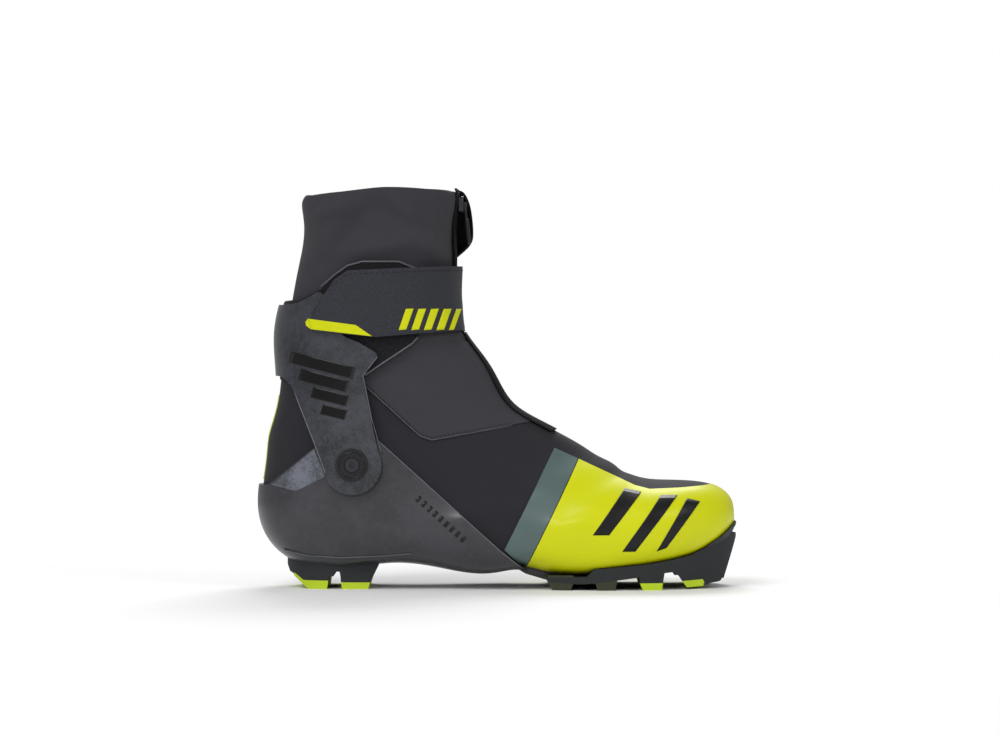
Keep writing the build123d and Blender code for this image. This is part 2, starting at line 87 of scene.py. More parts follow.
class Relief:
    """Builds one shared relief as a node group with a Height and a Mask output."""

    groups: dict[Texture, bpy.types.NodeTree] = {}

    def __init__(self, kind: Texture) -> None:
        """Builds the node group of one relief.

        Args:
            kind: which relief.
        """
        self.tree = bpy.data.node_groups.new(f"relief_{kind.value}", "ShaderNodeTree")
        self.tree.interface.new_socket("Scale", in_out="INPUT", socket_type="NodeSocketFloat")
        for output in ("Height", "Mask"):
            self.tree.interface.new_socket(output, in_out="OUTPUT", socket_type="NodeSocketFloat")
        self.nodes, self.links = self.tree.nodes, self.tree.links
        self.source, self.sink = self.nodes.new("NodeGroupInput"), self.nodes.new("NodeGroupOutput")
        self.coords = self.nodes.new("ShaderNodeTexCoord")
        getattr(self, kind.value)()

    @classmethod
    def group(cls, kind: Texture) -> bpy.types.NodeTree:
        """Finds the node group of one relief, made on first use.

        Args:
            kind: which relief.

        Returns:
            Its node group.
        """
        if kind not in cls.groups:
            cls.groups[kind] = cls(kind).tree
        return cls.groups[kind]

    def texture(self, kind: str, scale: float | None = None) -> bpy.types.Node:
        """Adds a texture node on object coordinates.

        Args:
            kind: the node's type.
            scale: a fixed scale, or None for the group's own.

        Returns:
            The node.
        """
        node = self.nodes.new(kind)
        self.links.new(self.coords.outputs["Object"], node.inputs["Vector"])
        if scale is None:
            self.links.new(self.source.outputs["Scale"], node.inputs["Scale"])
        else:
            node.inputs["Scale"].default_value = scale
        return node

    def threads(self, direction: str) -> bpy.types.NodeSocket:
        """Adds a wave texture of threads.

        Args:
            direction: X or Z.

        Returns:
            The wave's value.
        """
        wave = self.texture("ShaderNodeTexWave")
        wave.bands_direction = direction
        wave.inputs["Distortion"].default_value = 0.15
        return wave.outputs["Fac"]

    def cloud(self, scale: float | None, detail: float) -> bpy.types.NodeSocket:
        """Adds a noise texture.

        Args:
            scale: a fixed scale, or None for the group's own.
            detail: octaves of the noise.

        Returns:
            The noise's value.
        """
        tex = self.texture("ShaderNodeTexNoise", scale)
        tex.inputs["Detail"].default_value = detail
        return tex.outputs["Fac"]

    def math(
        self, operation: str, a: bpy.types.NodeSocket, b: bpy.types.NodeSocket | float
    ) -> bpy.types.NodeSocket:
        """Adds a math node.

        Args:
            operation: its operation.
            a: a socket.
            b: a socket or a number.

        Returns:
            The result.
        """
        node = self.nodes.new("ShaderNodeMath")
        node.operation = operation
        self.links.new(a, node.inputs[0])
        if isinstance(b, float):
            node.inputs[1].default_value = b
        else:
            self.links.new(b, node.inputs[1])
        return node.outputs[0]

    def give(self, height: bpy.types.NodeSocket, mask: bpy.types.NodeSocket) -> None:
        """Links the two results to the group's outputs."""
        self.links.new(height, self.sink.inputs["Height"])
        self.links.new(mask, self.sink.inputs["Mask"])

    def weave(self) -> None:
        """Plain weave: threads along X and along Z, with a cloudy mask."""
        high = self.math("MAXIMUM", self.threads("X"), self.threads("Z"))
        cloudy = self.math("MULTIPLY", self.cloud(90.0, 4.0), 0.6)
        self.give(high, self.math("ADD", self.math("MULTIPLY", high, 0.45), cloudy))

    def flake(self) -> None:
        """Pressed carbon flakes: clouds, blotches and fine specks under a clear coat."""
        blotch = self.cloud(240.0, 5.0)
        broad = self.math("MULTIPLY", self.cloud(38.0, 3.0), 2.4)
        specks = self.math("MULTIPLY", self.texture("ShaderNodeTexVoronoi").outputs["Distance"], 0.8)
        total = self.math("ADD", self.math("ADD", broad, self.math("MULTIPLY", blotch, 1.2)), specks)
        self.give(blotch, self.math("SUBTRACT", total, 1.7))

    def grain(self) -> None:
        """Fine moulded grain."""
        self.give(self.cloud(None, 6.0), self.cloud(45.0, 4.0))

    def loops(self) -> None:
        """Brushed loop cloth of small round tufts."""
        tuft = self.texture("ShaderNodeTexVoronoi").outputs["Distance"]
        self.give(tuft, tuft)


@dataclass(frozen=True)
class Finish:
    """One surface finish, as its maker would specify it."""

    name: str
    colour: tuple[int, int, int]
    slot: str
    texture: Texture = Texture.GRAIN
    scale: float = 900.0
    depth: float = 0.06
    contrast: float = 0.25
    roughness: float = 0.6
    metallic: float = 0.0
    coat: float = 0.0
    sheen: float = 0.0
    shine: float = 0.5

    def material(self) -> bpy.types.Material:
        """Finds the finish's material, made on first use.

        Returns:
            The material.
        """
        made = bpy.data.materials.get(self.name)
        if made is not None:
            return made
        made = bpy.data.materials.new(self.name)
        made.use_nodes = True
        nodes, links = made.node_tree.nodes, made.node_tree.links
        shader = nodes["Principled BSDF"]
        for socket, value in (
            ("Metallic", self.metallic),
            ("Coat Weight", self.coat),
            ("Coat Roughness", 0.16),
            ("Specular IOR Level", self.shine),
            ("Sheen Weight", self.sheen),
            ("Sheen Roughness", 0.5),
        ):
            shader.inputs[socket].default_value = value
        relief = nodes.new("ShaderNodeGroup")
        relief.node_tree = Relief.group(self.texture)
        relief.inputs["Scale"].default_value = self.scale
        mix = nodes.new("ShaderNodeMix")
        mix.data_type = "RGBA"
        base = linear(self.colour)
        mix.inputs["A"].default_value = (*[c * (1 - self.contrast) for c in base[:3]], 1.0)
        mix.inputs["B"].default_value = (*[min(1.0, c * (1 + self.contrast)) for c in base[:3]], 1.0)
        links.new(relief.outputs["Mask"], mix.inputs["Factor"])
        links.new(mix.outputs["Result"], shader.inputs["Base Color"])
        rough = nodes.new("ShaderNodeMapRange")
        rough.inputs["To Min"].default_value = max(0.05, self.roughness - 0.08)
        rough.inputs["To Max"].default_value = min(1.0, self.roughness + 0.08)
        links.new(relief.outputs["Mask"], rough.inputs["Value"])
        links.new(rough.outputs["Result"], shader.inputs["Roughness"])
        bump = nodes.new("ShaderNodeBump")
        bump.inputs["Strength"].default_value = 1.0
        bump.inputs["Distance"].default_value = self.depth * MM
        links.new(relief.outputs["Height"], bump.inputs["Height"])
        links.new(bump.outputs["Normal"], shader.inputs["Normal"])
        return made


UPPER = Finish(
    "upper_fabric", (39, 38, 43), "skin", Texture.WEAVE, 2400, 0.035, 0.16, 0.66, sheen=0.03, shine=0.16
)
COVER = Finish(
    "cover_fabric", (56, 55, 60), "cover", Texture.WEAVE, 2400, 0.03, 0.14, 0.6, sheen=0.03, shine=0.18
)
GAITER = Finish(
    "gaiter_softshell", (56, 55, 60), "gaiter", Texture.WEAVE, 2000, 0.04, 0.16, 0.75, sheen=0.05, shine=0.14
)
LINING = Finish(
    "lining_mesh", (26, 26, 29), "lining", Texture.LOOPS, 1300, 0.12, 0.4, 0.85, sheen=0.08, shine=0.1
)
LOOP_CLOTH = Finish(
    "loop_cloth", (27, 27, 30), "foam", Texture.LOOPS, 900, 0.3, 0.7, 0.85, sheen=0.12, shine=0.12
)
FOAM = Finish("foam_edge", (34, 34, 38), "foam", Texture.GRAIN, 900, 0.1, 0.3, 0.85, sheen=0.1, shine=0.12)
YELLOW = Finish(
    "yellow_film", (204, 209, 0), "film_yellow", Texture.GRAIN, 1500, 0.015, 0.05, 0.42, coat=0.08, shine=0.22
)
GREY = Finish(
    "grey_film", (78, 97, 96), "film_grey", Texture.GRAIN, 1500, 0.02, 0.12, 0.36, coat=0.25, shine=0.4
)
BLACK_FILM = Finish(
    "black_film", (14, 14, 16), "webbing", Texture.GRAIN, 1500, 0.015, 0.1, 0.4, coat=0.1, shine=0.25
)
# Gloss black of the prints, also used for the painted shade of the cap grooves.
GLOSS_BLACK = Finish(
    "black_print_and_groove_shade", (9, 9, 11), "hardware", Texture.GRAIN, 1500, 0.01, 0.1, 0.2, coat=0.3, shine=0.25
)
STRAP = Finish(
    "strap_webbing", (41, 42, 49), "strap", Texture.LOOPS, 1500, 0.16, 0.6, 0.66, sheen=0.05, shine=0.3
)
THREAD = Finish("dark_thread", (24, 24, 28), "webbing", Texture.GRAIN, 3000, 0.05, 0.2, 0.7, shine=0.2)
WEBBING = Finish("loop_webbing", (18, 17, 20), "webbing", Texture.WEAVE, 1500, 0.08, 0.3, 0.75, shine=0.15)
CARBON = Finish(
    "carbon_chassis", (51, 51, 56), "carbon", Texture.FLAKE, 900, 0.05, 0.22, 0.42, coat=0.25, shine=0.4
)
CARBON_CUFF = Finish(
    "cuff_carbon", (42, 44, 51), "carbon_cuff", Texture.FLAKE, 900, 0.08, 0.5, 0.34, coat=0.35, shine=0.5
)
# Lighter copy of the chassis carbon for the facet behind the arm: painted highlight.
FACET = Finish(
    "carbon_facet_highlight", (84, 87, 96), "carbon", Texture.FLAKE, 900, 0.08, 0.6, 0.36, coat=0.3, shine=0.5
)
# A real ridge on the chassis foot, painted lighter than the carbon as its highlight.
RIDGE = Finish("chassis_ridge_highlight", (64, 65, 71), "carbon", Texture.GRAIN, 1500, 0.01, 0.3, 0.45, coat=0.2)
# Light grey beads along the carbon edges: painted highlight.
EDGE = Finish("painted_edge_highlight", (96, 98, 104), "carbon", Texture.GRAIN, 1500, 0.01, 0.3, 0.4, coat=0.2)
# Light grey of the seam edge lines and of the liner's piping: painted highlight.
SEAM = Finish("seam_painted_highlight", (88, 88, 94), "webbing", Texture.GRAIN, 1800, 0.02, 0.3, 0.5, shine=0.3)
RUBBER = Finish("sole_rubber", (40, 43, 45), "rubber", Texture.GRAIN, 1200, 0.06, 0.25, 0.65, shine=0.25)
NEON = Finish("neon_rubber", (180, 204, 12), "rubber_neon", Texture.GRAIN, 1200, 0.05, 0.08, 0.55)
OLIVE = Finish("olive_rubber", (40, 46, 20), "rubber_olive", Texture.GRAIN, 1200, 0.06, 0.2, 0.6)
STEEL = Finish(
    "polished_steel", (200, 200, 204), "steel", Texture.GRAIN, 1800, 0.01, 0.08, 0.3, metallic=1.0
)
NYLON = Finish(
    "black_nylon", (19, 20, 23), "hardware", Texture.GRAIN, 1600, 0.03, 0.2, 0.4, coat=0.15, shine=0.3
)
DARK_METAL = Finish(
    "black_metal", (66, 67, 71), "metal_dark", Texture.GRAIN, 1800, 0.01, 0.15, 0.27, metallic=0.8
)
PAPER = Finish("studio_paper", (246, 246, 247), "skin", Texture.GRAIN, 300, 0.0, 0.0, 0.9)
BOARD = Finish("pressed_board", (110, 100, 86), "board", Texture.GRAIN, 900, 0.08, 0.3, 0.8)

SOLID_FINISHES: dict[str, Finish] = {
    "carbon_chassis": CARBON, "carbon_cuff": CARBON_CUFF, "toe_film": YELLOW, "grey_band": GREY,
    "heel_stripe": YELLOW, "forefoot_base": RUBBER, "ball_lugs": RUBBER, "ball_lug_tips": NEON,
    "midfoot_lugs": OLIVE, "toe_lug_tips": NEON, "toe_bar": STEEL, "heel_sole": RUBBER, "heel_lug_tips": NEON,
    "strap_rivets": DARK_METAL, "zip_slider": DARK_METAL, "zip_pull": NYLON, "hinge_disc_outer": NYLON,
    "hinge_disc_inner": NYLON, "hinge_screw_outer": DARK_METAL, "hinge_screw_inner": DARK_METAL,
    "hinge_nut_outer": STEEL, "hinge_nut_inner": STEEL, "lasting_board": BOARD,
}


# -------- mesh helpers
def publish(bm: bmesh.types.BMesh, name: str, finish: Finish) -> bpy.types.Object:
    """Turns a bmesh into a finished object at the origin.

    Args:
        bm: the mesh, which is freed.
        name: the piece's name.
        finish: its finish.

    Returns:
        The new object.
    """
    mesh = bpy.data.meshes.new(name)
    bm.to_mesh(mesh)
    bm.free()
    mesh.materials.append(finish.material())
    mesh.polygons.foreach_set("use_smooth", [True] * len(mesh.polygons))
    piece = bpy.data.objects.new(name, mesh)
    bpy.context.scene.collection.objects.link(piece)
    LOG.info("%s: %d faces", name, len(mesh.polygons))
    return piece


def thicken(piece: bpy.types.Object, thickness: float, bevel: float = 0.0, levels: int = 0) -> None:
    """Gives a sheet its wall, rounded edges and subdivision.

    Args:
        piece: the sheet.
        thickness: wall in millimetres, inwards.
        bevel: edge rounding in millimetres.
        levels: subdivision levels.
    """
    wall = piece.modifiers.new("wall", "SOLIDIFY")
    wall.thickness = thickness * MM
    wall.offset = -1.0
    if bevel:
        edge = piece.modifiers.new("edge", "BEVEL")
        edge.width = bevel * MM
        edge.segments = 2
        edge.limit_method = "ANGLE"
    if levels:
        fine = piece.modifiers.new("fine", "SUBSURF")
        fine.levels = levels
        fine.render_levels = levels


def warped_grid(columns: int, rows: int, place: Callable[[float, float], Vector]) -> bmesh.types.BMesh:
    """Makes a grid and moves every vertex to its place on a surface.

    Args:
        columns: faces across.
        rows: faces along.
        place: gives a point for two shares from 0 to 1.

    Returns:
        The bmesh.
    """
    bm = bmesh.new()
    bmesh.ops.create_grid(bm, x_segments=columns, y_segments=rows, size=1.0)
    for vert in bm.verts:
        vert.co = place((vert.co.x + 1) / 2, (vert.co.y + 1) / 2)
    return bm


def face_away(bm: bmesh.types.BMesh, centre: Vector) -> None:
    """Turns a sheet's faces away from a centre.

    Args:
        bm: the sheet.
        centre: a point behind it.
    """
    bm.normal_update()
    if sum(f.normal.dot(f.calc_center_median() - centre) * f.calc_area() for f in bm.faces) < 0:
        bmesh.ops.reverse_faces(bm, faces=bm.faces[:])
        bm.normal_update()


def height_at(line: Iterable[Flat], x: float) -> float:
    """Reads a line of (x, z) points at x.

    Args:
        line: points with rising x.
        x: where to read it.

    Returns:
        z, held at both ends.
    """
    points = list(line)
    if x <= points[0][0]:
        return points[0][1]
    for (x0, z0), (x1, z1) in zip(points, points[1:]):
        if x <= x1:
            return z0 + (z1 - z0) * (x - x0) / (x1 - x0)
    return points[-1][1]


def smooth_line(points: Sequence[Flat], i: int, t: float) -> Vector:
    """Reads a smooth curve through points.

    Args:
        points: what it passes through.
        i: the point that the run starts at.
        t: share of the run from point i to the next one.

    Returns:
        The point as a flat vector.
    """
    last = len(points) - 1
    a, b, c, d = (Vector(points[min(max(i + j, 0), last)]) for j in (-1, 0, 1, 2))
    return 0.5 * (2 * b + (c - a) * t + (2 * a - 5 * b + 4 * c - d) * t * t + (3 * b - a - 3 * c + d) * t**3)


SHIFTS = (Vector((0, 0, 0)), Vector((0.0005, 0, 0.0005)), Vector((-0.0005, 0, -0.0005)))


class Surface:
    """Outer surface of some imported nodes, read by rays."""

    def __init__(self, *names: str) -> None:
        """Joins the nodes' meshes.

        Args:
            names: the nodes.
        """
        verts: list[Vector] = []
        faces: list[list[int]] = []
        for name in names:
            mesh = NODES[name].data
            start = len(verts)
            verts += [v.co.copy() for v in mesh.vertices]
            faces += [[start + i for i in p.vertices] for p in mesh.polygons]
        self.tree = BVHTree.FromPolygons(verts, faces)

    def inward(self, centre: Vector, direction: Vector, reach: float) -> Vector:
        """Looks back at a centre from outside and returns the first wall met.

        Args:
            centre: the point looked at, in metres.
            direction: from the centre outwards, of length 1.
            reach: distance of the eye.

        Returns:
            The wall's point, or the nearest one where the ray meets nothing.
        """
        best = None
        for shift in SHIFTS:
            hit = self.tree.ray_cast(centre + direction * reach + shift, -direction, reach)[0]
            if hit is not None:
                far = (hit - shift - centre).dot(direction)
                best = far if best is None else max(best, far)
        if best is None:
            return self.tree.find_nearest(centre + direction * 0.04)[0]
        return centre + direction * best

    def side(self, x: float, z: float, side: int, lift: float = 0.0) -> Vector:
        """Returns the outer wall at x, z in millimetres on side -1 or 1, lifted along Y."""
        point = self.inward(Vector((x * MM, 0, z * MM)), Vector((0, side, 0)), 0.1)
        return Vector((x * MM, point.y + side * lift * MM, z * MM))


@dataclass
class Fan:
    """Section lines that fan round the heel from the leg's top to the toe, as front and back points in mm."""

    lines: tuple[tuple[Flat, Flat], ...] = (
        ((-27, 246.4), (-118.5, 243.9)), ((-26.8, 228), (-119.6, 228)), ((-27, 204), (-121.5, 204)),
        ((-27.5, 180), (-126, 181)), ((-21.5, 157), (-130, 157)), ((-9, 140), (-133, 134)),
        ((3, 119.5), (-136.8, 108)), ((16, 106.5), (-142, 84)), ((29, 99.5), (-145.3, 57)),
        ((39.5, 94), (-141, 34)), ((48.5, 89), (-122, 17.5)), ((57, 83.5), (-86, 15.5)),
        ((65, 79), (-45, 16.5)), ((74, 73.5), (0, 12)), ((84, 68.5), (42, 8.5)), ((96, 66), (76, 10.5)),
        ((110, 65.5), (101, 14)), ((124, 64.5), (120, 19)), ((134.5, 62), (134, 25)),
        ((141.8, 57.5), (142.2, 31.5)), ((145.3, 51.2), (145.7, 38)),
    )
    surface: Surface = field(default_factory=lambda: Surface("vamp", "quarter", "ankle_bellows", "gaiter"))
    half_width: float = 0.038
    margin: float = 0.022

    def line(self, u: float) -> tuple[Vector, Vector]:
        """Reads one section line.

        Args:
            u: the section, counted in lines from the leg's top.

        Returns:
            Its front and back points in metres.
        """
        i = min(int(u), len(self.lines) - 2)
        t = u - i
        front, back = (smooth_line([line[k] for line in self.lines], i, t) for k in (0, 1))
        return Vector((front.x, 0, front.y)) * MM, Vector((back.x, 0, back.y)) * MM

    def point(self, u: float, turn: float) -> Vector:
        """Reads the upper's surface.

        Args:
            u: the section, counted in lines from the leg's top.
            turn: angle from the section's front point in radians, positive towards the outer side.

        Returns:
            The surface's point in metres.
        """
        front, back = self.line(u)
        centre = (front + back) / 2
        along = front - centre
        way = along * cos(turn) + Vector((0, -self.half_width * sin(turn), 0))
        reach = max(along.length, 0.04) + self.margin
        return self.surface.inward(centre, way.normalized(), reach)


FAN = Fan()
LEG = Vector((-0.072, 0, 0.2))


def lifted(bm: bmesh.types.BMesh, amount: Callable[[Vector], float]) -> None:
    """Moves every vertex along its normal.

    Args:
        bm: the sheet.
        amount: distance in millimetres for a point in millimetres.
    """
    bm.normal_update()
    moves = [(v, v.normal.copy() * amount(v.co / MM) * MM) for v in bm.verts]
    for vert, move in moves:
        vert.co += move


def fan_sheet(u0: float, u1: float, rows: int, columns: int = 112) -> bmesh.types.BMesh:
    """Makes a closed tube of the upper's surface between two sections.

    Args:
        u0: first section.
        u1: last section.
        rows: faces along it.
        columns: faces round it.

    Returns:
        The tube, facing outwards.
    """
    bm = warped_grid(columns, rows, lambda a, b: FAN.point(u0 + (u1 - u0) * b, 2 * pi * a))
    bmesh.ops.remove_doubles(bm, verts=bm.verts[:], dist=2e-5)
    return bm


def outward(bm: bmesh.types.BMesh) -> None:
    """Turns a fan sheet outwards, judged against the nearest section's middle.

    Args:
        bm: the sheet.
    """
    bm.normal_update()
    total = 0.0
    middles = [(sum(FAN.line(u), Vector()) / 2) for u in range(len(FAN.lines))]
    for f in bm.faces:
        c = f.calc_center_median()
        m = min(middles, key=lambda p: (p - c).length)
        total += f.normal.dot(c - m) * f.calc_area()
    if total < 0:
        bmesh.ops.reverse_faces(bm, faces=bm.faces[:])
        bm.normal_update()


def keep_side(bm: bmesh.types.BMesh, a: Flat, b: Flat) -> None:
    """Cuts a mesh along the side-view line from a to b and keeps what lies on its left.

    Args:
        bm: the mesh.
        a: first point in millimetres.
        b: second point.
    """
    normal = Vector((b[1] - a[1], 0, -(b[0] - a[0])))
    geom = bm.verts[:] + bm.edges[:] + bm.faces[:]
    point = Vector((a[0], 0, a[1])) * MM
    bmesh.ops.bisect_plane(bm, geom=geom, dist=1e-7, plane_co=point, plane_no=normal, clear_outer=True)


def side_word(side: int) -> str:
    """Names the side -1 or 1 of the boot."""
    return "outer" if side < 0 else "inner"


def side_path(surface: Surface, line: Iterable[Flat], side: int, steps: int, lift: float) -> list[Vector]:
    """Follows a side-view line over a surface.

    Args:
        surface: what the path lies on.
        line: its corners as (x, z) in millimetres.
        side: -1 for the outer side, 1 for the inner one.
        steps: points on each run, without the last corner.
        lift: height above the surface in millimetres.

    Returns:
        The path in metres.
    """
    corners = [Vector(corner) for corner in line]
    flat = [a.lerp(b, k / steps) for a, b in zip(corners, corners[1:]) for k in range(steps)]
    return [surface.side(p.x, p.y, side, lift) for p in flat]


def tube_along(points: list[Vector], radius: float, sides: int = 8) -> bmesh.types.BMesh:
    """Sweeps a round cord along points.

    Args:
        points: the path in metres.
        radius: in millimetres.
        sides: faces round it.

    Returns:
        The closed tube.
    """
    bm = bmesh.new()
    rings = []
    for i, point in enumerate(points):
        way = (points[min(i + 1, len(points) - 1)] - points[max(i - 1, 0)]).normalized()
        turn = way.to_track_quat("Z", "Y").to_matrix().to_4x4()
        place = Matrix.Translation(point) @ turn
        ring = bmesh.ops.create_circle(bm, segments=sides, radius=radius * MM, matrix=place)
        rings.append(ring["verts"])
    for one, two in zip(rings, rings[1:]):
        near = set(one + two)
        edges = {e for v in near for e in v.link_edges if e.other_vert(v) in near and len(e.link_faces) < 2}
        rim = [e for e in edges if (e.verts[0] in one) == (e.verts[1] in one)]
        bmesh.ops.bridge_loops(bm, edges=rim)
    bmesh.ops.holes_fill(bm, edges=[e for e in bm.edges if e.is_boundary], sides=0)
    bmesh.ops.recalc_face_normals(bm, faces=bm.faces[:])
    return bm


def stitches(name: str, points: list[Vector], length: float, gap: float, radius: float) -> bpy.types.Object:
    """Sews a row of short raised stitches along a path.

    Args:
        name: the piece's name.
        points: the path in metres, on the cloth.
        length: of a stitch in millimetres.
        gap: between stitches.
        radius: of the thread.

    Returns:
        The row as one object.
    """
    bm = bmesh.new()
    travelled, due = 0.0, 0.0
    for a, b in zip(points, points[1:]):
        step = (b - a).length / MM
        while step > 0 and due <= travelled + step:
            t = (due - travelled) / step
            way = (b - a).normalized()
            turn = way.to_track_quat("X", "Z").to_matrix().to_4x4()
            size = Matrix.Diagonal((length / 2 * MM, radius * MM, radius * MM, 1))
            shape = Matrix.Translation(a.lerp(b, t)) @ turn @ size
            bmesh.ops.create_icosphere(bm, subdivisions=1, radius=1.0, matrix=shape)
            due += length + gap
        travelled += step
    return publish(bm, name, THREAD)


def decal(
    name: str, surface: Surface, corners: Iterable[Flat], side: int, finish: Finish, lift: float, fine: int
) -> bpy.types.Object:
    """Lays a thin printed panel on a surface seen from the side.

    Args:
        name: the piece's name.
        surface: what it lies on.
        corners: low rear, low front, high front and high rear as (x, z).
        side: -1 for the outer side, 1 for the inner one.
        finish: its finish.
        lift: height above the surface in millimetres.
        fine: faces each way.

    Returns:
        The panel.
    """
    c = [Vector(corner) for corner in corners]

    def place(a: float, b: float) -> Vector:
        """Returns a point of the panel."""
        flat = c[0].lerp(c[1], a).lerp(c[3].lerp(c[2], a), b)
        return surface.side(flat.x, flat.y, side)

    bm = warped_grid(fine, fine, place)
    face_away(bm, Vector((c[0].x * MM, 0, c[0].y * MM)))
    lifted(bm, lambda p: lift)
    piece = publish(bm, name, finish)
    thicken(piece, min(0.3, lift + 0.1))
    return piece


# -------- sub-assemblies
@dataclass
class SoftUpper:
    """Sewn upper of the foot and ankle, its cover, lining and tongue."""

    skin_wall: float = 1.6
    stitch_inset: float = 1.6
    lining_depth: float = 3.4
    tongue_depth: float = 5.5
    seam: tuple[Flat, ...] = ((-81.3, 125.4), (-47.1, 94), (-40, 91.6), (-15.8, 95.8), (10.8, 100.5))
    bend: tuple[Vector, Vector] = (Vector((-0.0884, 0, 0.119)), Vector((-0.0884, 0, 0.152)))

    def bendable(self, piece: bpy.types.Object) -> None:
        """Bakes a piece's placement into its mesh; the ankle's bend points are read but not used."""
        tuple(self.bend[0])
        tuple(self.bend[1])
        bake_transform(piece)

    def build_skin(self) -> None:
        """Builds the outer fabric from the toe to above the ankle."""
        bm = fan_sheet(3.34, 20, 150)
        toe = [e for e in bm.edges if e.is_boundary and e.verts[0].co.x > 0.14]
        bmesh.ops.holes_fill(bm, edges=toe, sides=0)
        outward(bm)
        lifted(bm, self.ripple)
        skin = publish(bm, "upper_skin", UPPER)
        thicken(skin, self.skin_wall)
        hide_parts("vamp", "quarter", "ankle_bellows")
        self.bendable(skin)

    def ripple(self, p: Vector) -> float:
        """Gives the soft creases of the ankle and instep.

        Args:
            p: a point in millimetres.

        Returns:
            Height in millimetres.
        """
        near = max(0.0, 1 - abs(p.z - 122) / 34) * max(0.0, 1 - abs(p.x + 38) / 60)
        crease = noise.noise(Vector((p.x * 0.02 + p.z * 0.02, p.y * 0.02, p.z * 0.035)))
        return max(-0.9, near * crease * 1.6) - 0.1

    def build_cover(self) -> None:
        """Builds the raised lace cover, cut along its seam."""
        bm = warped_grid(96, 60, lambda a, b: FAN.point(3.38 + 5.82 * b, radians(-118 + 236 * a)))
        outward(bm)
        for a, b in zip(self.seam, self.seam[1:]):
            keep_side(bm, a, b)
        keep_side(bm, (40, 160), (-120, 160))
        lifted(bm, self.ripple)
        lifted(bm, lambda p: 0.75)
        cover = publish(bm, "lace_cover_cloth", COVER)
        thicken(cover, 0.7)
        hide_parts("lace_cover")
        self.bendable(cover)

    def build_seams(self) -> None:
        """Sews the cover's edge on both sides and lays a light line of painted highlight along it."""
        inset = [(x, z + self.stitch_inset) for x, z in self.seam]
        for side in (-1, 1):
            word = side_word(side)
            path = side_path(FAN.surface, inset, side, 14, 0.95)
            self.bendable(stitches(f"cover_stitches_{word}", path, 1.8, 0.9, 0.2))
            edge = [p - Vector((0, 0, (self.stitch_inset + 0.1) * MM)) for p in path]
            self.bendable(publish(tube_along(edge, 0.32, 6), f"cover_edge_{word}", SEAM))

    def build_lining(self) -> None:
        """Builds the mesh lining and the quilted tongue."""
        bm = fan_sheet(0, 20, 120, 80)
        outward(bm)
        lifted(bm, lambda p: -self.lining_depth)
        lining = publish(bm, "lining_mesh", LINING)
        thicken(lining, 1.6)
        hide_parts("lining_toe", "lining_heel", "lining_shaft")
        self.bendable(lining)

        def place(a: float, b: float) -> Vector:
            """Returns a point of the tongue."""
            return FAN.point(0.4 + 9.6 * b, asin((a * 2 - 1) * 0.62))

        bm = warped_grid(30, 120, place)
        outward(bm)
        lifted(bm, lambda p: -self.tongue_depth - 0.5 * abs(cos(p.z * 0.22)))
        tongue = publish(bm, "tongue_pad", LINING)
        thicken(tongue, 2.4, levels=1)
        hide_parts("tongue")
        self.bendable(tongue)

    def build_footbed(self) -> None:
        """Builds the cloth-topped insole."""
        bed = soften("footbed", "insole", FOAM, 1.4, 3)
        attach(bed, "boot")

    def build_toe_marks(self) -> None:
        """Lays generic slanted bars on both sides of the toe cover."""
        cover = Surface("toe_film", "grey_band")
        bars = (
            ((76, 24), (84, 24), (110, 58), (100, 58)),
            ((58, 34), (68, 34), (88, 60), (78, 62)),
            ((97, 24), (103, 26), (124, 54), (116, 56)),
        )
        for side in (-1, 1):
            for i, corners in enumerate(bars):
                name = f"toe_bar_mark_{i}_{side_word(side)}"
                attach(decal(name, cover, corners, side, BLACK_FILM, 0.12, 16), "boot")

    def build(self) -> None:
        """Builds the whole upper."""
        self.build_skin()
        self.build_cover()
        self.build_seams()
        self.build_lining()
        self.build_footbed()
        self.build_toe_marks()


def soften(node: str, name: str, finish: Finish, voxel: float, smooth: int) -> bpy.types.Object:
    """Remeshes a soft solid into rounded cloth-covered foam.

    Args:
        node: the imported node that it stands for.
        name: the piece's name.
        finish: its finish.
        voxel: grid size in millimetres.
        smooth: smoothing passes.

    Returns:
        The piece.
    """
    bm = bmesh.new()
    bm.from_mesh(NODES[node].data)
    bmesh.ops.remove_doubles(bm, verts=bm.verts[:], dist=1e-6)
    rough = publish(bm, f"{name}_rough", finish)
    grid = rough.modifiers.new("grid", "REMESH")
    grid.mode = "VOXEL"
    grid.voxel_size = voxel * MM
    even = rough.modifiers.new("even", "SMOOTH")
    even.iterations = smooth
    bpy.context.view_layer.update()
    mesh = bpy.data.meshes.new_from_object(rough.evaluated_get(bpy.context.evaluated_depsgraph_get()))
    bpy.data.objects.remove(rough)
    bm = bmesh.new()
    bm.from_mesh(mesh)
    piece = publish(bm, name, finish)
    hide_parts(node)
    return piece


